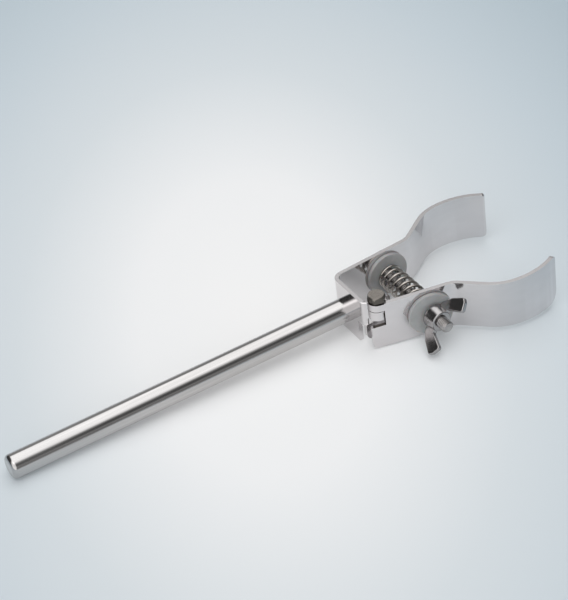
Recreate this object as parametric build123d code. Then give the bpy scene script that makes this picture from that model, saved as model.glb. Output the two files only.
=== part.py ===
from build123d import *
import os
from math import cos, pi, radians, sin, tan

# A two-jaw retort clamp on its support rod. All sizes are in millimetres.
# X runs along the rod toward the jaws, Y toward the fixed jaw, Z up along the hinge bolt.
# The origin is where the rod's axis meets the outer face of the bracket's web.

# Support rod
rod_diameter = 12.0
rod_length = 179.0
rod_end_round = 2.2
rod_spigot_radius = 3.5
rivet_radius = 4.5
rivet_height = 1.5

# Sheet of the bracket and of the moving jaw
sheet = 2.0
strip_height = 25.4

# Bracket: web, far plate, near bend, and the ear that carries the hinge
far_plate_angle = 3.4
far_face_at_web = 11.5
far_bend_radius = 4.2
web_free_edge = -10.5
slit_top = -0.6
ear_face = -16.5
ear_rear = 0.8
ear_front = 15.0
ear_bottom = -9.2
ear_rear_corner = 3.6
ear_front_corner = 3.0
near_bend_radius = 1.5
notch_front = 12.3

# Both jaws share one profile, measured from the web along the jaw's straight plate
knee_start = 41.8
knee_angle = 31.6
knee_radius = 8.6
incline_length = 13.5
crown_radius = 23.6
nose_radius = 36.0
nose_angle = 41.9
fixed_tip_upper_corner = 1.5
fixed_tip_lower_corner = 2.5
moving_tip_upper_corner = 2.0
moving_tip_lower_corner = 6.0

# Hinge: rolled eyes on one hexagon-headed bolt
hinge_x = 7.4
hinge_y = -17.0
hinge_bolt_radius = 2.5
hinge_running_fit = 0.05
hinge_head_flats = 7.8
hinge_head_height = 3.3
hinge_head_turn = 45.0
jaw_eye_bottom = 8.4
jaw_eye_top = 12.2
bracket_eye_bottom = 3.2
bracket_eye_top = 8.1
bracket_eye_entry = 64.0
bracket_eye_end = 275.0
jaw_eye_wrap = 295.0
peened_radius = 2.95
peened_height = 1.2
head_gap = 0.5

# Moving jaw, in its own frame at the hinge. Its strip widens a little toward the nose
open_angle = 12.5
height_at_hinge = 24.9
height_at_nose = 26.1
jaw_rear = -5.0
jaw_step = 2.1
jaw_rear_corner = 2.5
slot_place = 23.2
slot_length = 9.5
slot_width = 6.8

# Clamp bolt, its wing nut, the washers and the spring
bolt_x = 30.0
bolt_diameter = 6.0
bolt_end = -42.1
bolt_hole_radius = 3.3
bolt_head_flats = 10.0
bolt_head_height = 4.0
nut_running_fit = 0.05
washer_radius = 11.2
washer_thickness = 2.0
inner_washer_bore = 5.0
outer_washer_bore = 3.9
outer_washer_lift = 0.12
hub_base_radius = 6.2
hub_front_radius = 5.2
hub_height = 6.4
wing_thickness = 2.5
wing_direction = 46.0
wing_root = 2.0
wing_reach = 16.0
wing_height = 14.8
wing_tip_corner = 1.4
wing_heel_corner = 2.0
wing_rim_round = 0.7
spring_coil_radius = 5.8
spring_wire_radius = 0.65
spring_turns = 7.0
spring_closed_turns = 1.0
spring_end_gap = 0.08
spring_points_per_turn = 12


def folded_strip(start, heading, steps, thickness):
    """Face of a folded sheet seen along its folds, walked along the sheet's middle line."""
    half = thickness / 2
    left_edges = []
    right_edges = []
    place = Vector(*start)
    for step in steps:
        forward = Vector(cos(radians(heading)), sin(radians(heading)))
        leftward = Vector(-sin(radians(heading)), cos(radians(heading)))
        if step[0] == "go":
            after = place + forward * step[1]
            for side, edges in ((half, left_edges), (-half, right_edges)):
                edges.append(Line(place + leftward * side, after + leftward * side))
        else:
            radius, turn = step[1], step[2]
            sense = 1 if turn > 0 else -1
            centre = place + leftward * (radius * sense)

            def around(distance, angle):
                return centre + (place - centre).normalized().rotate(Axis.Z, angle) * distance

            after = around(radius, turn)
            for side, edges in ((half, left_edges), (-half, right_edges)):
                reach = radius - side * sense
                edges.append(
                    ThreePointArc(around(reach, 0), around(reach, turn / 2), around(reach, turn))
                )
            heading += turn
        place = after
    first_cap = Line(left_edges[0] @ 0, right_edges[0] @ 0)
    last_cap = Line(left_edges[-1] @ 1, right_edges[-1] @ 1)
    return make_face([first_cap, last_cap] + left_edges + right_edges)


def jaw_steps(outward):
    """Knee, incline, crown and nose of a jaw. outward is 1 for a left turn, -1 for a right."""
    return [
        ("bend", knee_radius, outward * knee_angle),
        ("go", incline_length),
        ("bend", crown_radius, -outward * knee_angle),
        ("bend", nose_radius, -outward * nose_angle),
    ]


def upright(face, bottom, top):
    """Raise a plan face between two heights."""
    return Pos(0, 0, bottom) * extrude(face, amount=top - bottom)


def round_tip(strip, along, upper, lower):
    """Round the two corners at the far end of a strip, looking along a direction."""
    edges = strip.edges().filter_by(lambda edge: abs(edge.length - sheet) < 0.01)
    ends = edges.sort_by(lambda edge: edge.center().dot(along))[-2:]
    low, high = ends.sort_by(Axis.Z)
    strip = fillet(high, upper)
    edges = strip.edges().filter_by(lambda edge: abs(edge.length - sheet) < 0.01)
    matches = edges.sort_by(lambda edge: (edge.center() - low.center()).length)
    return fillet(matches[0], lower)


def round_bar(radius, start, end):
    """Cylinder between two points on one axis."""
    start = Vector(*start)
    span = Vector(*end) - start
    plane = Plane(origin=start, z_dir=span)
    return extrude(plane * Circle(radius), amount=span.length)


def hexagon(flats):
    return RegularPolygon(flats / 2, 6, major_radius=False)


# Frames of the two plates. The moving jaw's frame turns with the jaw.
far_direction = Vector(cos(radians(far_plate_angle)), sin(radians(far_plate_angle)))
jaw_frame = Pos(hinge_x, hinge_y, 0) * Rot(0, 0, -open_angle)
eye_radius = hinge_bolt_radius + hinge_running_fit + sheet / 2
half_height = strip_height / 2
plate_outer = -eye_radius - sheet / 2
plate_inner = -eye_radius + sheet / 2


def far_face(x):
    """Height of the far plate's outer face over the rod's axis at a place along it."""
    return far_face_at_web + tan(radians(far_plate_angle)) * x


# Support rod, shouldered and riveted through the web
rod = round_bar(rod_diameter / 2, (-rod_length, 0, 0), (0, 0, 0))
rod = fillet(rod.edges().sort_by(Axis.X)[0], rod_end_round)
spigot = round_bar(rod_spigot_radius, (0, 0, 0), (sheet, 0, 0))
rivet = round_bar(rivet_radius, (sheet, 0, 0), (sheet + rivet_height, 0, 0))
rivet = fillet(rivet.edges().sort_by(Axis.X)[-1], rivet_height * 0.8)
support_rod = rod + spigot + rivet

# Bracket: the web and the fixed jaw are one walk, the ear is joined on by the near bend
outer_bend = far_bend_radius + sheet / 2
lean = radians(far_plate_angle)
web_far_end = far_face_at_web - outer_bend * (1 - sin(lean)) / cos(lean)
bend_exit = outer_bend * cos(lean) + (web_far_end - far_face_at_web) * sin(lean)
fixed_walk = [
    ("go", web_far_end - web_free_edge),
    ("bend", far_bend_radius, far_plate_angle - 90),
    ("go", knee_start - bend_exit),
] + jaw_steps(1)
fixed_strip = folded_strip((sheet / 2, web_free_edge), 90, fixed_walk, sheet)
fixed_jaw = round_tip(
    upright(fixed_strip, -half_height, half_height),
    far_direction,
    fixed_tip_upper_corner,
    fixed_tip_lower_corner,
)
ear_middle = ear_face + sheet / 2
near_bend_start = ear_middle + near_bend_radius
near_walk = [
    ("go", web_free_edge - near_bend_start),
    ("bend", near_bend_radius, 90),
]
near_bend = upright(
    folded_strip((sheet / 2, web_free_edge), -90, near_walk, sheet), slit_top, half_height
)
ear_outline = Pos((ear_rear + ear_front) / 2, (ear_bottom + half_height) / 2) * Rectangle(
    ear_front - ear_rear, half_height - ear_bottom
)
ear_corners = ear_outline.vertices().sort_by(Axis.X)
ear_rear_low = ear_corners[:2].sort_by(Axis.Y)[0]
ear_outline = fillet(ear_rear_low, ear_rear_corner)
ear_front_high = ear_outline.vertices().group_by(Axis.X)[-1].sort_by(Axis.Y)[-1]
ear_outline = fillet(ear_front_high, ear_front_corner)
notch_rear = sheet / 2 + near_bend_radius
notch = Pos((notch_front + ear_rear - 1) / 2, half_height) * Rectangle(
    notch_front - ear_rear + 1, strip_height
)
ear_plan = Plane(origin=(0, ear_face, 0), x_dir=(1, 0, 0), z_dir=(0, -1, 0))
ear = extrude(ear_plan * (ear_outline - notch), amount=-sheet)

# The bracket's eye is a leaf of the ear's front post, joggled and rolled round the bolt
entry = radians(bracket_eye_entry)
leaf_meets_eye = Vector(hinge_x + eye_radius * cos(entry), hinge_y + eye_radius * sin(entry))
leaf_length = (leaf_meets_eye.Y - ear_middle) / cos(entry)
leaf_start = leaf_meets_eye - Vector(-sin(entry), cos(entry)) * leaf_length
bracket_eye_walk = [
    ("go", leaf_length),
    ("bend", eye_radius, bracket_eye_end - bracket_eye_entry),
]
bracket_eye = upright(
    folded_strip((leaf_start.X, leaf_start.Y), bracket_eye_entry + 90, bracket_eye_walk, sheet),
    bracket_eye_bottom,
    bracket_eye_top,
)
leaf_root = upright(
    folded_strip((ear_front - sheet / 2, ear_middle), 180, [("go", ear_front - leaf_start.X)], sheet),
    bracket_eye_bottom,
    bracket_eye_top,
)
leaf_root = leaf_root & Pos(leaf_start.X + 5.1, ear_middle, 5) * Box(10, 10, 30)
bolt_hole = round_bar(bolt_hole_radius, (bolt_x, 0, 0), (bolt_x, 30, 0))
rivet_hole = round_bar(rod_spigot_radius, (-1, 0, 0), (sheet + 1, 0, 0))
bracket = fixed_jaw + near_bend + ear + bracket_eye + leaf_root
bracket = bracket - bolt_hole - rivet_hole

# Moving jaw, drawn straight in its own frame and then turned open
jaw_walk = [("go", knee_start - hinge_x - jaw_rear)] + jaw_steps(-1)
jaw_strip = folded_strip((jaw_rear, -eye_radius), 0, jaw_walk, sheet)
jaw_reach = jaw_strip.bounding_box().max.X
widening = (height_at_nose - height_at_hinge) / 2 / jaw_reach
rear_half_height = height_at_hinge / 2 + widening * jaw_rear
nose_half_height = height_at_nose / 2
blank_outline = Polyline(
    (jaw_rear, -rear_half_height),
    (jaw_reach, -nose_half_height),
    (jaw_reach, nose_half_height),
    (jaw_rear, rear_half_height),
    close=True,
)
blank_plan = Plane(origin=(0, 0, 0), x_dir=(1, 0, 0), z_dir=(0, -1, 0))
blank = extrude(blank_plan * make_face(blank_outline), amount=jaw_reach, both=True)
jaw = round_tip(
    upright(jaw_strip, -height_at_nose, height_at_nose) & blank,
    Vector(1, 0),
    moving_tip_upper_corner,
    moving_tip_lower_corner,
)
jaw_short_edges = jaw.edges().filter_by(lambda edge: abs(edge.length - sheet) < 0.01)
jaw = fillet(jaw_short_edges.group_by(Axis.X)[0].sort_by(Axis.Z)[0], jaw_rear_corner)
step_back = jaw_step - jaw_rear
step_cut = Pos(jaw_step - step_back, -eye_radius, height_at_nose / 2) * Box(
    2 * step_back, 4 * sheet, height_at_nose
)
jaw_eye_walk = [("go", jaw_step + 1), ("bend", eye_radius, -jaw_eye_wrap)]
jaw_eye = upright(
    folded_strip((jaw_step + 1, -eye_radius), 180, jaw_eye_walk, sheet), jaw_eye_bottom, jaw_eye_top
)
slot_plan = Plane(origin=(slot_place, 0, 0), x_dir=(1, 0, 0), z_dir=(0, -1, 0))
slot = extrude(slot_plan * SlotOverall(slot_length, slot_width), amount=10)
moving_jaw = jaw_frame * (jaw - step_cut + jaw_eye - slot)

# Hinge bolt: head, shank, and the lower end peened over under the bracket's eye
head_bottom = jaw_eye_top + head_gap
head_face = Pos(0, 0, head_bottom) * Rot(0, 0, hinge_head_turn) * hexagon(hinge_head_flats)
head = extrude(head_face, amount=hinge_head_height)
crown_limit = Pos(0, 0, head_bottom) * Cone(
    hinge_head_flats * 0.75,
    hinge_head_flats * 0.48,
    hinge_head_height,
    align=(Align.CENTER, Align.CENTER, Align.MIN),
)
shank = round_bar(hinge_bolt_radius, (0, 0, bracket_eye_bottom), (0, 0, head_bottom))
peened_bottom = bracket_eye_bottom - peened_height
peened = round_bar(peened_radius, (0, 0, peened_bottom), (0, 0, bracket_eye_bottom))
peened = fillet(peened.edges().sort_by(Axis.Z)[0], peened_height * 0.7)
hinge_bolt = Pos(hinge_x, hinge_y, 0) * ((head & crown_limit) + shank + peened)


# Washers lie flat on the plate that carries them
def washer(bore):
    """Plain washer whose bearing face is at height 0, facing down."""
    ring = Circle(washer_radius) - Circle(bore)
    disc = extrude(ring, amount=washer_thickness)
    rims = disc.edges().filter_by(GeomType.CIRCLE).filter_by(lambda edge: edge.radius > bore + 1)
    return fillet(rims, 0.4)


far_seat = Plane(
    origin=(bolt_x, far_face(bolt_x), 0),
    x_dir=(cos(lean), sin(lean), 0),
    z_dir=(-sin(lean), cos(lean), 0),
)
fixed_jaw_outer_washer = far_seat.location * washer(bolt_hole_radius)
inner_seat = far_seat.offset(-sheet - washer_thickness)
fixed_jaw_inner_washer = inner_seat.location * washer(bolt_hole_radius)
outer_seat_place = (bolt_x - hinge_x - sin(radians(open_angle)) * plate_outer) / cos(
    radians(open_angle)
)
jaw_outer_seat = Plane(
    origin=(outer_seat_place, plate_outer - outer_washer_lift, 0),
    x_dir=(1, 0, 0),
    z_dir=(0, -1, 0),
)
jaw_inner_seat = Plane(origin=(slot_place, plate_inner, 0), x_dir=(1, 0, 0), z_dir=(0, 1, 0))
moving_jaw_outer_washer = jaw_frame * jaw_outer_seat.location * washer(outer_washer_bore)
moving_jaw_inner_washer = jaw_frame * jaw_inner_seat.location * washer(inner_washer_bore)

# Clamp bolt, its head just touching the outer washer on the fixed jaw
head_corner = bolt_head_flats / 2 / cos(pi / 6)
head_seat = far_face(bolt_x) + washer_thickness / cos(lean) + head_corner * tan(lean)
bolt_axis = Plane(origin=(bolt_x, head_seat, 0), x_dir=(1, 0, 0), z_dir=(0, 1, 0))
clamp_head = extrude(bolt_axis * hexagon(bolt_head_flats), amount=bolt_head_height)
clamp_shank = round_bar(bolt_diameter / 2, (bolt_x, head_seat, 0), (bolt_x, bolt_end, 0))
clamp_shank = chamfer(clamp_shank.edges().sort_by(Axis.Y)[0], 0.6)
clamp_bolt = clamp_head + clamp_shank

# Wing nut, its hub's rim just touching the leaning washer
tilt = radians(open_angle)
nut_face = plate_outer - outer_washer_lift - washer_thickness
washer_outer_at_bolt = hinge_y + nut_face / cos(tilt) - tan(tilt) * (bolt_x - hinge_x)
hub_base = washer_outer_at_bolt - hub_base_radius * tan(tilt) - 0.05
hub = Cone(
    hub_base_radius,
    hub_front_radius,
    hub_height,
    align=(Align.CENTER, Align.CENTER, Align.MIN),
)
hub = fillet(hub.edges().sort_by(Axis.Z)[-1], 0.8)
wing_outline = Polyline(
    (wing_root, 0.12 * hub_height),
    (0.47 * wing_reach, 0.05 * hub_height),
    (0.76 * wing_reach, 0.7 * hub_height),
    (wing_reach, 0.73 * wing_height),
    (0.89 * wing_reach, 0.87 * wing_height),
    (0.62 * wing_reach, wing_height),
    (hub_base_radius, 0.94 * hub_height),
    (wing_root, 0.88 * hub_height),
    close=True,
)
wing_face = make_face(wing_outline)
tip_corners = wing_face.vertices().filter_by(lambda corner: corner.Y > hub_height + 1)
wing_face = fillet(tip_corners, wing_tip_corner)
heel_corners = wing_face.vertices().filter_by(
    lambda corner: corner.X > hub_base_radius + 1 and corner.Y < 0.8 * hub_height
)
wing_face = fillet(heel_corners, wing_heel_corner)
wing_plan = Plane(origin=(0, 0, 0), x_dir=(1, 0, 0), z_dir=(0, -1, 0))
wing = extrude(wing_plan * wing_face, amount=wing_thickness / 2, both=True)
long_edges = wing.edges().filter_by(lambda edge: abs(edge.center().Y) > wing_thickness * 0.49)
rim_edges = long_edges.filter_by(lambda edge: edge.center().X > hub_base_radius + 0.8)
wing = fillet(rim_edges, wing_rim_round)
nut_bore = round_bar(bolt_diameter / 2 + nut_running_fit, (0, 0, -1), (0, 0, hub_height + 1))
nut_body = hub + wing + Rot(0, 0, 180) * wing - nut_bore
nut_frame = Plane(origin=(bolt_x, hub_base, 0), x_dir=(1, 0, 0), z_dir=(0, -1, 0))
wing_nut = nut_frame.location * Rot(0, 0, wing_direction) * nut_body

# Compression spring. Each turn leans a little more, from the fixed jaw's washer to the moving one's
far_seat_height = far_face(bolt_x) - (sheet + washer_thickness) / cos(lean)
near_seat_height = hinge_y + (plate_inner + washer_thickness) / cos(tilt) - tan(tilt) * (
    bolt_x - hinge_x
)
end_inset = spring_wire_radius + spring_end_gap
whole_turns = spring_turns + 2 * spring_closed_turns
point_count = int(whole_turns * spring_points_per_turn)
closed_lift = 2 * spring_wire_radius + 0.1
spring_path = []
for index in range(point_count + 1):
    turned = index / spring_points_per_turn
    opened = min(max(turned - spring_closed_turns, 0), spring_turns) / spring_turns
    lower_lift = min(turned, spring_closed_turns) * closed_lift
    upper_lift = min(whole_turns - turned, spring_closed_turns) * closed_lift
    angle = 2 * pi * turned
    across = spring_coil_radius * cos(angle)
    far_height = far_seat_height + across * tan(lean) - end_inset / cos(lean) - lower_lift
    near_height = near_seat_height - across * tan(tilt) + end_inset / cos(tilt) + upper_lift
    height = far_height + (near_height - far_height) * opened
    spring_path.append((bolt_x + across, height, -spring_coil_radius * sin(angle)))
coil = Spline(*spring_path)
wire_section = Plane(origin=coil @ 0, z_dir=coil % 0) * Circle(spring_wire_radius)
compression_spring = sweep(wire_section, path=coil, is_frenet=True)

nodes = {
    "support_rod": support_rod,
    "bracket": bracket,
    "moving_jaw": moving_jaw,
    "hinge_bolt": hinge_bolt,
    "clamp_bolt": clamp_bolt,
    "wing_nut": wing_nut,
    "compression_spring": compression_spring,
    "fixed_jaw_inner_washer": fixed_jaw_inner_washer,
    "fixed_jaw_outer_washer": fixed_jaw_outer_washer,
    "moving_jaw_inner_washer": moving_jaw_inner_washer,
    "moving_jaw_outer_washer": moving_jaw_outer_washer,
}
os.makedirs("parts", exist_ok=True)
for name, shape in nodes.items():
    export_step(shape, f"parts/{name}.step")
    box = shape.bounding_box()
    print(name, round(shape.volume, 1), box.min, box.max)
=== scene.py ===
# %% [markdown]
# # A two-jaw retort clamp
# A retort clamp holds a flask or a tube on a laboratory stand. A long round rod goes into the
# stand's boss, and a folded steel bracket at its end carries one fixed jaw and one hinged jaw.
# A spring pushes the jaws apart, and a wing nut on a cross bolt draws them together. The solids
# come ready-made as the frame, so this script only dresses them: threads, coil, finishes,
# table, light and camera.

from math import cos, pi, radians, sin, tan

import bpy
from mathutils import Matrix, Vector


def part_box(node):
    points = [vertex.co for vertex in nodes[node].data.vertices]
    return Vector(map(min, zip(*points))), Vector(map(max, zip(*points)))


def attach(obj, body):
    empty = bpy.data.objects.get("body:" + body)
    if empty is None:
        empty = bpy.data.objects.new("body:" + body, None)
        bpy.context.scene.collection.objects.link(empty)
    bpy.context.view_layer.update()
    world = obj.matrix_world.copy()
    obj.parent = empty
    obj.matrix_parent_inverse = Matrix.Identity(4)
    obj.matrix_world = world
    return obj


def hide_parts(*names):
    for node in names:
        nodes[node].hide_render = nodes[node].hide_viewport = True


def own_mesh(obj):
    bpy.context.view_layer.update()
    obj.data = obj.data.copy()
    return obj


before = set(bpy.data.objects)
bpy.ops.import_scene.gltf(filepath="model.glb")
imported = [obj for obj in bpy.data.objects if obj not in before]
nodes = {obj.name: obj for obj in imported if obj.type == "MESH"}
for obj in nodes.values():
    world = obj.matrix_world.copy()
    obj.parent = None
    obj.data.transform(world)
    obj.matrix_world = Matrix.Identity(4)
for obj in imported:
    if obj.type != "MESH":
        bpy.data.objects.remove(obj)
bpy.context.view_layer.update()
MM = 0.001
print("nodes:", sorted(nodes))

# %% [markdown]
# ## Helpers for shader nodes
# A material in Blender is a small graph. Setting nodes and links by hand takes many lines, so a
# few helpers do it: one adds a node with its settings, and the others fill its inputs, either
# with a plain value or with another node's output. The Mix node has an input called A for each
# kind of value, so its colour inputs are found by their number.


# %% Node helpers
def add(tree, kind, **settings):
    """A new shader node of a kind, with its settings."""
    node = tree.nodes.new("ShaderNode" + kind)
    for name, value in settings.items():
        setattr(node, name, value)
    return node


def fill(tree, socket, value):
    """Give an input a plain value or another node's output."""
    if isinstance(value, bpy.types.NodeSocket):
        tree.links.new(value, socket)
    else:
        socket.default_value = value


def feed(tree, node, **inputs):
    """Fill a node's inputs by their names."""
    for name, value in inputs.items():
        fill(tree, node.inputs[name], value)
    return node


def calculate(tree, operation, *values):
    """The output of a Math node on one or two values."""
    node = add(tree, "Math", operation=operation)
    for socket, value in zip(node.inputs, values):
        fill(tree, socket, value)
    return node.outputs["Value"]


print("node helpers ready")

# %% Colour helpers
MIX_SHARE = 0
MIX_FIRST = 6
MIX_SECOND = 7
MIX_RESULT = 2


def grey(level):
    """A colour with no tint."""
    return (level, level, level)


def mix_colours(tree, share, first, second, blend="MIX"):
    """The output of a Mix node. Each colour is three plain numbers or another node's output."""
    node = add(tree, "Mix", data_type="RGBA", blend_type=blend)
    fill(tree, node.inputs[MIX_SHARE], share)
    for place, colour in ((MIX_FIRST, first), (MIX_SECOND, second)):
        value = (*colour, 1.0) if isinstance(colour, tuple) else colour
        fill(tree, node.inputs[place], value)
    return node.outputs[MIX_RESULT]


def ramp(tree, amount, stops):
    """A colour ramp through stops of (place, colour)."""
    node = feed(tree, add(tree, "ValToRGB"), Fac=amount)
    elements = node.color_ramp.elements
    while len(elements) < len(stops):
        elements.new(0.5)
    for element, (place, colour) in zip(elements, stops):
        element.position = place
        element.color = (*colour, 1.0)
    return node.outputs["Color"]


print("colour helpers ready")

# %% [markdown]
# ## Shared effects as node groups
# Three effects come back on several finishes: fine parallel marks left by brushing or turning,
# cloudy handling marks, and a highlight painted onto the edges. Each is built once as a node
# group with named sockets, so a material only sets its own scale. The groups put out plain masks,
# and each material decides what the mask does.


# %% A group builder
def new_group(name, inputs, outputs):
    """An empty node group with float or vector inputs and float outputs."""
    group = bpy.data.node_groups.new(name, "ShaderNodeTree")
    for socket_name, kind, value in inputs:
        socket = group.interface.new_socket(socket_name, in_out="INPUT", socket_type=kind)
        socket.default_value = value
    for socket_name in outputs:
        group.interface.new_socket(socket_name, in_out="OUTPUT", socket_type="NodeSocketFloat")
    return group, group.nodes.new("NodeGroupInput"), group.nodes.new("NodeGroupOutput")


def use_group(tree, group, **inputs):
    """Place a group in a material with its own values."""
    node = tree.nodes.new("ShaderNodeGroup")
    node.node_tree = group
    return feed(tree, node, **inputs)


print("group builder ready")

# %% [markdown]
# ## Fine parallel marks
# Drawn, brushed and turned metal carries fine lines in one direction. They could be painted on,
# but a noise that is stretched along one axis gives them at any size and without a seam.


# %% Fine parallel marks
def build_fine_marks():
    """Noise stretched along one axis of the object, as brushing or drawing leaves it."""
    group, given, result = new_group(
        "fine marks",
        [("Stretch", "NodeSocketVector", (60.0, 4000.0, 4000.0))],
        ["Marks", "Bands"],
    )
    place = add(group, "TexCoord")
    stretched = add(group, "VectorMath", operation="MULTIPLY")
    group.links.new(place.outputs["Object"], stretched.inputs[0])
    group.links.new(given.outputs["Stretch"], stretched.inputs[1])
    fine = feed(
        group,
        add(group, "TexNoise"),
        Vector=stretched.outputs["Vector"],
        Scale=1.0,
        Detail=3.0,
        Roughness=0.7,
    )
    wide = feed(
        group,
        add(group, "TexNoise"),
        Vector=stretched.outputs["Vector"],
        Scale=0.23,
        Detail=1.0,
    )
    group.links.new(fine.outputs["Fac"], result.inputs["Marks"])
    group.links.new(wide.outputs["Fac"], result.inputs["Bands"])
    return group


fine_marks = build_fine_marks()
print("group:", fine_marks.name)

# %% [markdown]
# ## Handling marks
# Fingers and cloths leave soft patches that are a little duller than the rest. A second noise
# with no direction gives them. On metal it changes only the polish.


# %% Handling marks
def build_handling_marks():
    """Cloudy patches. Cloud Scale is roughly how many of them lie along a metre."""
    group, given, result = new_group(
        "handling marks", [("Cloud Scale", "NodeSocketFloat", 110.0)], ["Clouds"]
    )
    place = add(group, "TexCoord")
    clouds = feed(
        group,
        add(group, "TexNoise"),
        Vector=place.outputs["Object"],
        Scale=given.outputs["Cloud Scale"],
        Detail=4.0,
        Roughness=0.55,
        Distortion=0.4,
    )
    group.links.new(clouds.outputs["Fac"], result.inputs["Clouds"])
    return group


handling_marks = build_handling_marks()
print("group:", handling_marks.name)

# %% [markdown]
# ## Painted edge highlight
# Edges that stand out catch a highlight, and here it is painted: the plating is made a little
# brighter there. Blender knows how pointed a mesh is at each place, and a mask over that picks
# out the edges without an image.


# %% Painted edge highlight
def build_edge_highlight():
    """A mask that is 1 on outward edges, where the highlight is painted, from how pointed the mesh
    is.
    """
    group, given, result = new_group(
        "painted edge highlight",
        [("Start", "NodeSocketFloat", 0.52), ("Full", "NodeSocketFloat", 0.62)],
        ["Edge"],
    )
    shape = add(group, "NewGeometry")
    mask = feed(
        group,
        add(group, "MapRange"),
        Value=shape.outputs["Pointiness"],
        **{"From Min": given.outputs["Start"], "From Max": given.outputs["Full"]},
    )
    group.links.new(mask.outputs["Result"], result.inputs["Edge"])
    return group


edge_highlight = build_edge_highlight()
print("group:", edge_highlight.name)

# %% [markdown]
# ## Metal finishes
# All the metal is plated steel without paint, so one function builds its finishes: a metallic
# base whose colour shifts a little between the marks, a roughness that the marks and clouds
# disturb, and a very shallow bump. What differs from piece to piece is the polish, the tint and
# the way the marks run. Separate materials, not one, let each piece keep its own scale of marks.

# %% Metal
# How much the painted edge highlight brightens the plating.
EDGE_HIGHLIGHT_GAIN = 0.12


def plated_metal(name, colour, shade, rough, rough_spread, stretch, bump_height, cloud_scale):
    """Plated metal. colour is the plating, shade the tint between its marks."""
    material = bpy.data.materials.new(name)
    material.use_nodes = True
    tree = material.node_tree
    marks = use_group(tree, fine_marks, Stretch=stretch)
    handled = use_group(tree, handling_marks, **{"Cloud Scale": cloud_scale})
    edges = use_group(tree, edge_highlight)
    plating = mix_colours(tree, marks.outputs["Bands"], shade, colour)
    # Painted highlight: the plating's colour is brightened on outward edges.
    with_edge_highlight = mix_colours(tree, edges.outputs["Edge"], plating, grey(EDGE_HIGHLIGHT_GAIN), "SCREEN")
    grain = calculate(tree, "ADD", marks.outputs["Marks"], handled.outputs["Clouds"])
    spread = feed(
        tree,
        add(tree, "MapRange"),
        Value=grain,
        **{
            "From Min": 0.6,
            "From Max": 1.4,
            "To Min": rough - rough_spread,
            "To Max": rough + rough_spread,
        },
    )
    bump = feed(
        tree,
        add(tree, "Bump"),
        Height=marks.outputs["Marks"],
        Strength=1.0,
        Distance=bump_height,
    )
    feed(
        tree,
        tree.nodes["Principled BSDF"],
        Metallic=1.0,
        Roughness=spread.outputs["Result"],
        Normal=bump.outputs["Normal"],
        **{"Base Color": with_edge_highlight},
    )
    return material


print("metal helper ready")

# %% [markdown]
# ## Rod and sheet
# The rod and the two strips are the smooth, bright pieces. The rod's marks are drawn out along
# it, and the strips' marks are shorter. The sheet is the smoother of the two, so it mirrors the
# pieces beside it.

# %% Rod and sheet
polished_rod = plated_metal(
    "polished rod",
    colour=(0.59, 0.575, 0.57),
    shade=(0.44, 0.43, 0.425),
    rough=0.13,
    rough_spread=0.05,
    stretch=(90.0, 3600.0, 3600.0),
    bump_height=0.004 * MM,
    cloud_scale=60.0,
)
polished_sheet = plated_metal(
    "polished sheet",
    colour=(0.70, 0.68, 0.685),
    shade=(0.65, 0.63, 0.635),
    rough=0.09,
    rough_spread=0.03,
    stretch=(500.0, 500.0, 1400.0),
    bump_height=0.0012 * MM,
    cloud_scale=140.0,
)
print("finishes:", polished_rod.name, "and", polished_sheet.name)

# %% [markdown]
# ## Small steel parts
# The hinge bolt, the clamp bolt, the wing nut and the spring's wire are darker and rougher than
# the sheet. A rougher surface blurs what it mirrors, and so turned and cast parts look duller
# beside polished plate.

# %% Small steel parts
hinge_steel = plated_metal(
    "warm hinge steel",
    colour=(0.32, 0.295, 0.27),
    shade=(0.24, 0.22, 0.20),
    rough=0.30,
    rough_spread=0.08,
    stretch=(1500.0, 1500.0, 5000.0),
    bump_height=0.006 * MM,
    cloud_scale=300.0,
)
bolt_steel = plated_metal(
    "threaded bolt steel",
    colour=(0.42, 0.40, 0.39),
    shade=(0.30, 0.285, 0.28),
    rough=0.20,
    rough_spread=0.06,
    stretch=(2500.0, 1200.0, 2500.0),
    bump_height=0.005 * MM,
    cloud_scale=400.0,
)
wing_steel = plated_metal(
    "cast wing steel",
    colour=(0.44, 0.43, 0.43),
    shade=(0.28, 0.27, 0.27),
    rough=0.14,
    rough_spread=0.06,
    stretch=(1600.0, 1600.0, 1600.0),
    bump_height=0.02 * MM,
    cloud_scale=350.0,
)
wire_steel = plated_metal(
    "drawn spring wire",
    colour=(0.50, 0.47, 0.44),
    shade=(0.34, 0.31, 0.28),
    rough=0.16,
    rough_spread=0.05,
    stretch=(1200.0, 1200.0, 1200.0),
    bump_height=0.003 * MM,
    cloud_scale=400.0,
)
small_steels = (hinge_steel, bolt_steel, wing_steel, wire_steel)
print("finishes:", [steel.name for steel in small_steels])

# %% [markdown]
# ## The hinge bolt's painted side shade
# The hinge bolt's head is brighter on top than on its six sides, and that shade is painted into
# its colour. The direction in which a face points is known to the shader, so the colour can be
# mixed toward a darker one where a face points neither up nor down.

# %% Painted shade on the sides
# The darker colour and its share for the shade painted on the sides.
SIDE_SHADE_COLOUR = (0.07, 0.065, 0.055)
SIDE_SHADE_SHARE = 0.75


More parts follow.
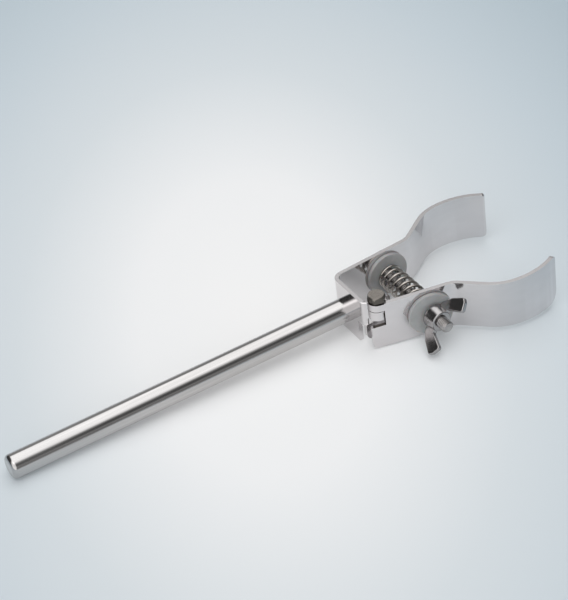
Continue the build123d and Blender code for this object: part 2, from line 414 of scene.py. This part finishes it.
def paint_shade_on_sides(material):
    """Keep the faces that look up or down, and paint shade on the others."""
    tree = material.node_tree
    base_colour = tree.nodes["Principled BSDF"].inputs["Base Color"]
    colour = base_colour.links[0].from_socket
    shape = add(tree, "NewGeometry")
    facing = feed(tree, add(tree, "SeparateXYZ"), Vector=shape.outputs["Normal"])
    sides = feed(
        tree,
        add(tree, "MapRange"),
        Value=calculate(tree, "ABSOLUTE", facing.outputs["Z"]),
        **{"From Min": 0.25, "From Max": 0.75, "To Min": SIDE_SHADE_SHARE, "To Max": 0.0},
    )
    # Painted shade: faces that point sideways get a darker colour.
    side_shaded = mix_colours(tree, sides.outputs["Result"], colour, SIDE_SHADE_COLOUR)
    tree.links.new(side_shaded, base_colour)


paint_shade_on_sides(hinge_steel)
print("painted side shade:", hinge_steel.name)

# %% [markdown]
# ## The washers' plastic
# The washers look like milky nylon, which lets some light in and scatters it. A little
# subsurface scattering gives that waxy edge, and the clouds group varies its polish.

# %% Washer plastic
WASHER_SHADE = (0.36, 0.365, 0.365)
WASHER_COLOUR = (0.42, 0.425, 0.425)


def milky_plastic(name):
    """Nylon whose colour, polish and surface change a little between cloudy patches."""
    material = bpy.data.materials.new(name)
    material.use_nodes = True
    tree = material.node_tree
    clouds = use_group(tree, handling_marks, **{"Cloud Scale": 250.0}).outputs["Clouds"]
    polish = feed(
        tree, add(tree, "MapRange"), Value=clouds, **{"To Min": 0.28, "To Max": 0.46}
    )
    bump = feed(tree, add(tree, "Bump"), Height=clouds, Strength=1.0, Distance=0.02 * MM)
    feed(
        tree,
        tree.nodes["Principled BSDF"],
        Roughness=polish.outputs["Result"],
        Normal=bump.outputs["Normal"],
        **{
            "Base Color": ramp(tree, clouds, [(0.3, WASHER_SHADE), (0.7, WASHER_COLOUR)]),
            "Subsurface Weight": 0.25,
            "Subsurface Scale": 2.0 * MM,
        },
    )
    return material


washer_plastic = milky_plastic("milky washer plastic")
print("plastic:", washer_plastic.name)

# %% [markdown]
# ## Dressing the solids
# The frame's own meshes have the right shape, so most of them stay and only take a finish. Real
# stamped and turned edges are never knife-sharp. A bevel modifier rounds them, by a tenth of a
# millimetre on the washers and up to nearly half a millimetre on the sheet. The mesh is welded
# first, because an imported mesh is split along its sharp edges. Smooth shading would then bend
# the light across the large flat faces too, so a last modifier weighs each corner's direction by
# the size of the faces that meet there. The rod is round already and stays as it is.

# %% Finishes on the frame's nodes
SHEET_ROUND = 0.45 * MM
HINGE_ROUND = 0.25 * MM
WING_ROUND = 0.15 * MM
WASHER_ROUND = 0.1 * MM
FINISH = {
    "support_rod": (polished_rod, None),
    "bracket": (polished_sheet, SHEET_ROUND),
    "moving_jaw": (polished_sheet, SHEET_ROUND),
    "hinge_bolt": (hinge_steel, HINGE_ROUND),
    "wing_nut": (wing_steel, WING_ROUND),
    "fixed_jaw_inner_washer": (washer_plastic, WASHER_ROUND),
    "fixed_jaw_outer_washer": (washer_plastic, WASHER_ROUND),
    "moving_jaw_inner_washer": (washer_plastic, WASHER_ROUND),
    "moving_jaw_outer_washer": (washer_plastic, WASHER_ROUND),
}
WELD_DISTANCE = 0.002 * MM
SHARP_ANGLE = radians(32)
BEVEL_STEPS = 3
FLAT_FACE_WEIGHT = 90


def soften_edges(piece, width):
    """Weld, round and even out a piece without touching its own mesh."""
    weld = piece.modifiers.new("weld split edges", "WELD")
    weld.merge_threshold = WELD_DISTANCE
    bevel = piece.modifiers.new("rounded edges", "BEVEL")
    bevel.width = width
    bevel.segments = BEVEL_STEPS
    bevel.limit_method = "ANGLE"
    bevel.angle_limit = SHARP_ANGLE
    evened = piece.modifiers.new("flat faces stay flat", "WEIGHTED_NORMAL")
    evened.weight = FLAT_FACE_WEIGHT


for name, (finish, width) in FINISH.items():
    node = nodes[name]
    for place in node.material_slots:
        place.material = finish
    if width:
        soften_edges(node, width)
print("dressed:", len(FINISH))

# %% [markdown]
# ## The clamp bolt
# A screw thread is a ridge that climbs one pitch for each turn round the bolt. Any turned shape
# can be made as rings of points whose distance from the axis follows a rule, and both the shank
# and the head of the bolt are made in this way. The sizes of the plain solid set where the bolt
# starts and ends.

# %% Sizes of the clamp bolt
BOLT_X = 30.0 * MM
bolt_low, bolt_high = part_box("clamp_bolt")
BOLT_END = bolt_low[1]
HEAD_TOP = bolt_high[1]
HEAD_HEIGHT = 4.0 * MM
HEAD_SEAT = HEAD_TOP - HEAD_HEIGHT
HEAD_FLATS = 10.0 * MM
MAJOR_RADIUS = 3.0 * MM
PITCH = 1.0 * MM
BEVEL_SLOPE = 1.2
print("bolt length in mm:", round((HEAD_TOP - BOLT_END) / MM, 2))


# %% Rings of points by a rule
def ringed_mesh(name, heights, sides, radius_at):
    """A closed surface of rings round the bolt's axis, with radius_at(height, angle)."""
    points = []
    faces = []
    for height in heights:
        for side in range(sides):
            angle = 2 * pi * side / sides
            radius = radius_at(height, angle)
            points.append((BOLT_X + radius * cos(angle), height, radius * sin(angle)))
    for ring in range(len(heights) - 1):
        for side in range(sides):
            after = (side + 1) % sides
            near = ring * sides
            far = near + sides
            faces.append((near + side, near + after, far + after, far + side))
    faces.append(tuple(reversed(range(sides))))
    faces.append(tuple(range(len(points) - sides, len(points))))
    mesh = bpy.data.meshes.new(name)
    mesh.from_pydata(points, [], faces)
    mesh.update()
    piece = bpy.data.objects.new(name, mesh)
    bpy.context.scene.collection.objects.link(piece)
    return piece


def steps(start, end, count):
    """Evenly spaced places from start to end."""
    return [start + (end - start) * index / count for index in range(count + 1)]


print("ring helpers ready")

# %% [markdown]
# ## The threaded shank
# The thread runs from the head's seat to the bolt's end, where a small bevel helps the nut on.
# Its rule is a triangle wave in "height plus angle", which gives a true helical ridge from one
# small formula. Cutting the wave's tops and feet off gives the thread its flat crest and root.

# %% Threaded shank
THREAD_DEPTH = 0.61 * MM
FLANK_STEEPNESS = 1.3
CREST_SHARE = 0.15
END_BEVEL = 0.6 * MM
RINGS_PER_PITCH = 10
SHANK_SIDES = 40


def thread_radius(height, angle):
    """Distance from the axis to a right-hand thread's flank."""
    turn = ((height / PITCH) + angle / (2 * pi)) % 1.0
    wave = min(1.0, max(0.0, abs(2 * turn - 1) * FLANK_STEEPNESS - CREST_SHARE))
    thread = MAJOR_RADIUS - THREAD_DEPTH * wave
    end_limit = MAJOR_RADIUS - max(0.0, END_BEVEL - (height - BOLT_END)) * BEVEL_SLOPE
    return min(thread, end_limit)


ring_count = int((HEAD_SEAT - BOLT_END) / PITCH * RINGS_PER_PITCH)
shank_heights = steps(HEAD_SEAT, BOLT_END, ring_count)
threaded_shank = ringed_mesh("clamp_bolt_thread", shank_heights, SHANK_SIDES, thread_radius)
print("thread rings:", ring_count)

# %% [markdown]
# ## The hexagonal head
# A hexagon is also a distance from the axis that depends on the angle, so the same rings make
# it. A cone limits that distance near the top, as turning the corners off does on a real head.
# Both pieces belong to the frame body, because the bolt doesn't move, and they take the place
# of the plain solid.

# %% Hexagonal head
HEAD_RINGS = 14
HEAD_SIDES = 96
TURNED_SHARE = 0.56
HEAD_BEVEL = 0.7 * MM


def head_radius(height, angle):
    """A hexagon with its corners turned off by a cone near the top."""
    flat = (angle + pi / 6) % (pi / 3) - pi / 6
    hexagon = HEAD_FLATS / 2 / cos(flat)
    cone = HEAD_FLATS * TURNED_SHARE - max(0.0, height - HEAD_TOP + HEAD_BEVEL) * BEVEL_SLOPE
    return min(hexagon, cone)


head_heights = steps(HEAD_TOP, HEAD_SEAT, HEAD_RINGS)
clamp_head = ringed_mesh("clamp_bolt_head", head_heights, HEAD_SIDES, head_radius)
for piece in (threaded_shank, clamp_head):
    piece.data.materials.append(bolt_steel)
    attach(piece, "frame")
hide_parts("clamp_bolt")
for face in threaded_shank.data.polygons:
    face.use_smooth = len(face.vertices) == 4
print("head faces:", len(clamp_head.data.polygons))

# %% [markdown]
# ## The spring
# The compression spring is hard-drawn wire wound round the bolt. Its far end sits on the fixed
# jaw's washer and its near end leans with the moving jaw's washer, so each turn leans a little
# more than the one before. A curve with a round bevel follows that helix, and is turned into a
# mesh.

# %% The wire's course
COIL_RADIUS = 5.8 * MM
WIRE_RADIUS = 0.65 * MM
OPEN_TURNS = 7.0
CLOSED_TURNS = 1.0
ALL_TURNS = OPEN_TURNS + 2 * CLOSED_TURNS
CLOSED_LIFT = 1.4 * MM
FAR_LEAN = radians(3.4)
NEAR_LEAN = radians(12.5)
BOX_SLACK = 0.1
spring_low, spring_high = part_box("compression_spring")
FAR_CENTRE = spring_high[1] - (COIL_RADIUS + WIRE_RADIUS * BOX_SLACK) * tan(FAR_LEAN) - WIRE_RADIUS
NEAR_CENTRE = spring_low[1] + COIL_RADIUS * tan(NEAR_LEAN) + WIRE_RADIUS


def wire_centre(turned):
    """The wire's centre after a number of turns from the far end."""
    opened = min(max(turned - CLOSED_TURNS, 0.0), OPEN_TURNS) / OPEN_TURNS
    far_lift = min(turned, CLOSED_TURNS) * CLOSED_LIFT
    near_lift = min(ALL_TURNS - turned, CLOSED_TURNS) * CLOSED_LIFT
    across = COIL_RADIUS * cos(2 * pi * turned)
    far = FAR_CENTRE + across * tan(FAR_LEAN) - far_lift
    near = NEAR_CENTRE - across * tan(NEAR_LEAN) + near_lift
    height = far + (near - far) * opened
    return (BOLT_X + across, height, -COIL_RADIUS * sin(2 * pi * turned))


print("spring length in mm:", round((spring_high[1] - spring_low[1]) / MM, 2))

# %% Wound wire
STEPS_PER_TURN = 28
TUBE_DETAIL = 5


def round_wire(name, points, radius):
    """A mesh tube along a line of points."""
    curve = bpy.data.curves.new(name + " line", "CURVE")
    curve.dimensions = "3D"
    curve.bevel_depth = radius
    curve.bevel_resolution = TUBE_DETAIL
    curve.use_fill_caps = True
    spline = curve.splines.new("POLY")
    spline.points.add(len(points) - 1)
    for target, point in zip(spline.points, points):
        target.co = (*point, 1.0)
    line = bpy.data.objects.new(name + " line", curve)
    mesh = bpy.data.meshes.new_from_object(line)
    mesh.name = name
    bpy.data.objects.remove(line)
    piece = bpy.data.objects.new(name, mesh)
    bpy.context.scene.collection.objects.link(piece)
    for face in mesh.polygons:
        face.use_smooth = True
    return piece


step_count = int(ALL_TURNS * STEPS_PER_TURN)
wire_points = [wire_centre(index / STEPS_PER_TURN) for index in range(step_count + 1)]
spring_coil = round_wire("spring_coil", wire_points, WIRE_RADIUS)
spring_coil.data.materials.clear()
spring_coil.data.materials.append(wire_steel)
print("wire points:", len(wire_points))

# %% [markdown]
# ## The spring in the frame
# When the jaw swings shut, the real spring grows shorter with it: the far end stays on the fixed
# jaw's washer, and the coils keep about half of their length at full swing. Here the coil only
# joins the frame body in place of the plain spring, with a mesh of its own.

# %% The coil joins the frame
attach(spring_coil, "frame")
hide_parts("compression_spring")
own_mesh(spring_coil)

# %% [markdown]
# ## The table
# The clamp lies on a pale table: the rod's free end and the lower edge of the bracket's web touch
# it, so the table leans a little against the frame's own level. One large square is enough, as
# only its upper side is seen.

# %% Table
ROD_END_ROUND = 2.2 * MM
TABLE_GAP = 0.05 * MM
TABLE_HALF = 1.6
web_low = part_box("bracket")[0]
rod_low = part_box("support_rod")[0]
ROD_TOUCH_X = rod_low[0] + ROD_END_ROUND
TABLE_LEAN = (rod_low[2] - web_low[2]) / (web_low[0] - ROD_TOUCH_X)


def table_height(x):
    """Height of the table's top below the object at a place along the rod."""
    return web_low[2] - TABLE_GAP - TABLE_LEAN * (x - web_low[0])


corners = [(-1, -1), (1, -1), (1, 1), (-1, 1)]
table_points = [(x * TABLE_HALF, y * TABLE_HALF, table_height(x * TABLE_HALF)) for x, y in corners]
table_mesh = bpy.data.meshes.new("table")
table_mesh.from_pydata(table_points, [], [(0, 1, 2, 3)])
table = bpy.data.objects.new("table", table_mesh)
bpy.context.scene.collection.objects.link(table)
print("table leans by", round(TABLE_LEAN, 4))

# %% [markdown]
# ## The table's finish
# The table's colour fades from white under the clamp to a pale blue-grey, which gives the soft
# backdrop; the white centre is a pool of light painted on the table. A small share of that colour
# shines by itself wherever the table is looked at, straight or in a reflection, so that the metal
# mirrors the same table as the camera sees. The rest is lit, and keeps the clamp's shadow.

# %% Table finish
# A pool of light painted on the table: white round this centre, fading outward to blue-grey.
LIGHT_POOL_CENTRE = (-0.029, 0.035, 0.0)
LIGHT_POOL_SIZE = (0.293, 0.582, 1.0)
LIGHT_POOL_TURN = (0.0, 0.0, radians(-25))
LIGHT_POOL_STOPS = [
    (0.0, (0.42, 0.52, 0.59)),
    (0.2, (0.50, 0.59, 0.65)),
    (0.4, (0.61, 0.69, 0.745)),
    (0.6, (0.735, 0.79, 0.825)),
    (0.8, (0.95, 0.96, 0.97)),
    (1.0, (1.0, 1.0, 1.0)),
]
OWN_GLOW = 0.15


def table_finish():
    """A painted pool of light, mostly lit and partly shining by itself where it is looked at."""
    material = bpy.data.materials.new("pale table")
    material.use_nodes = True
    tree = material.node_tree
    surface = tree.nodes["Principled BSDF"]
    place = add(tree, "TexCoord")
    framed = feed(
        tree,
        add(tree, "Mapping", vector_type="TEXTURE"),
        Vector=place.outputs["Object"],
        Location=LIGHT_POOL_CENTRE,
        Rotation=LIGHT_POOL_TURN,
        Scale=LIGHT_POOL_SIZE,
    )
    light_pool = feed(
        tree, add(tree, "TexGradient", gradient_type="SPHERICAL"), Vector=framed.outputs["Vector"]
    )
    colour = ramp(tree, light_pool.outputs["Fac"], LIGHT_POOL_STOPS)
    feed(tree, surface, **{"Base Color": colour, "Roughness": 0.5, "Specular IOR Level": 0.1})
    glow = feed(tree, add(tree, "Emission"), Color=colour, Strength=1.0)
    ray = add(tree, "LightPath").outputs
    looked_at = calculate(tree, "MAXIMUM", ray["Is Camera Ray"], ray["Is Glossy Ray"])
    seen = calculate(tree, "MAXIMUM", looked_at, ray["Is Transmission Ray"])
    shown = feed(tree, add(tree, "MixShader"), Fac=calculate(tree, "MULTIPLY", seen, OWN_GLOW))
    tree.links.new(surface.outputs["BSDF"], shown.inputs[1])
    tree.links.new(glow.outputs["Emission"], shown.inputs[2])
    tree.links.new(shown.outputs["Shader"], tree.nodes["Material Output"].inputs["Surface"])
    return material


table_mesh.materials.append(table_finish())
print("table finish:", table_mesh.materials[0].name)

# %% [markdown]
# ## Light
# Polished metal shows the room more than its own colour. A product photographer hangs a large
# soft white light straight above the piece and leaves the sides darker, so that every round
# shows a bright band on top and a dark band below it. The world here is that room. A ramp over
# how far a direction is from straight up gives most of it.

# %% The room's ramp
LIGHT_AXIS = Vector((0.02, 0.13, 0.99)).normalized()
ROOM_STRENGTH = 1.75
ROOM_STOPS = [
    (0.0, grey(0.30)),
    (0.47, grey(0.24)),
    (0.515, grey(0.10)),
    (0.56, grey(0.12)),
    (0.60, grey(0.18)),
    (0.65, grey(0.10)),
    (0.74, grey(0.04)),
    (0.79, grey(0.07)),
    (0.85, grey(0.22)),
    (0.90, grey(0.66)),
    (0.95, grey(0.96)),
]


def cosine_to(tree, direction, axis):
    """The cosine of the angle between a direction and an axis."""
    node = add(tree, "VectorMath", operation="DOT_PRODUCT")
    fill(tree, node.inputs[0], direction)
    fill(tree, node.inputs[1], axis)
    return node.outputs["Value"]


print("light axis:", [round(part, 2) for part in LIGHT_AXIS])

# %% [markdown]
# ## Soft spots in the room
# Three soft spots change the ramp: a faint light low behind the clamp, a black cloth at the left,
# which photographers call a flag, and a light in front. Each is a cone round an axis with a soft
# rim, and the cosine of the angle to its axis says how far inside the cone a direction lies.

# %% Soft spots
BACK_AXIS = Vector((0.35, 0.91, 0.22)).normalized()
BACK_LEVEL = 0.22 / ROOM_STRENGTH
FLAG_AXIS = Vector((-0.74, 0.55, 0.38)).normalized()
FLAG_LEVEL = 0.04
SIDE_AXIS = Vector((-0.60, -0.62, 0.50)).normalized()
SIDE_LEVEL = 1.1 / ROOM_STRENGTH


def soft_spot(tree, direction, room, axis, rim, core, level, blend):
    """Change the room round an axis. rim and core are cosines, ADD lights and MIX replaces."""
    spot = feed(
        tree,
        add(tree, "MapRange", interpolation_type="SMOOTHSTEP"),
        Value=cosine_to(tree, direction, axis),
        **{"From Min": rim, "From Max": core},
    )
    return mix_colours(tree, spot.outputs["Result"], room, grey(level), blend)


print("levels:", round(BACK_LEVEL, 3), FLAG_LEVEL, round(SIDE_LEVEL, 3))

# %% [markdown]
# ## The world
# The ramp and the three spots together light the clamp and show in its metal. The camera itself
# sees a plain pale backdrop behind the table instead of the room.

# %% Studio world
BACKDROP = (0.27, 0.31, 0.34)


def studio_world():
    """The room for light and reflections, and a plain backdrop for the camera."""
    world = bpy.data.worlds.new("studio")
    world.use_nodes = True
    tree = world.node_tree
    direction = add(tree, "TexCoord").outputs["Generated"]
    upward = cosine_to(tree, direction, LIGHT_AXIS)
    height = feed(tree, add(tree, "MapRange"), Value=upward, **{"From Min": -1.0})
    room = ramp(tree, height.outputs["Result"], ROOM_STOPS)
    room = soft_spot(
        tree, direction, room, BACK_AXIS, rim=0.60, core=0.88, level=BACK_LEVEL, blend="ADD"
    )
    room = soft_spot(
        tree, direction, room, FLAG_AXIS, rim=0.55, core=0.80, level=FLAG_LEVEL, blend="MIX"
    )
    room = soft_spot(
        tree, direction, room, SIDE_AXIS, rim=0.62, core=0.90, level=SIDE_LEVEL, blend="ADD"
    )
    camera_ray = add(tree, "LightPath").outputs["Is Camera Ray"]
    seen = mix_colours(tree, camera_ray, room, BACKDROP)
    feed(tree, tree.nodes["Background"], Color=seen, Strength=ROOM_STRENGTH)
    return world


bpy.context.scene.world = studio_world()
print("world:", bpy.context.scene.world.name)

# %% [markdown]
# ## Camera
# The camera stands high in front of the rod's side of the clamp, a little over a metre away,
# with a long lens, and is tipped slightly about its own axis.

# %% Camera
CAMERA_PLACE = Vector((-0.38024, -0.71153, 0.64775))
CAMERA_AIM = Vector((-0.02340, 0.01685, 0.00643))
CAMERA_TIP = radians(-8.065)
LENS = 138.11
PICTURE_WIDTH = 568
HALF_PIXEL = 0.5 / PICTURE_WIDTH
camera_data = bpy.data.cameras.new("camera")
camera_data.sensor_fit = "HORIZONTAL"
camera_data.sensor_width = 36.0
camera_data.lens = LENS
camera_data.clip_start = 0.05
camera_data.shift_x = -HALF_PIXEL
camera_data.shift_y = HALF_PIXEL
camera = bpy.data.objects.new("camera", camera_data)
bpy.context.scene.collection.objects.link(camera)
level = (CAMERA_AIM - CAMERA_PLACE).to_track_quat("-Z", "Y").to_matrix().to_4x4()
camera.matrix_world = Matrix.Translation(CAMERA_PLACE) @ level @ Matrix.Rotation(CAMERA_TIP, 4, "Z")
bpy.context.scene.camera = camera
bpy.context.scene.view_settings.view_transform = "Standard"
print("camera distance:", round((CAMERA_AIM - CAMERA_PLACE).length, 3))

# %% [markdown]
# ## End
# Nothing more is built. The dressed clamp must not be larger than its solids.

# %% End
print("script finished")
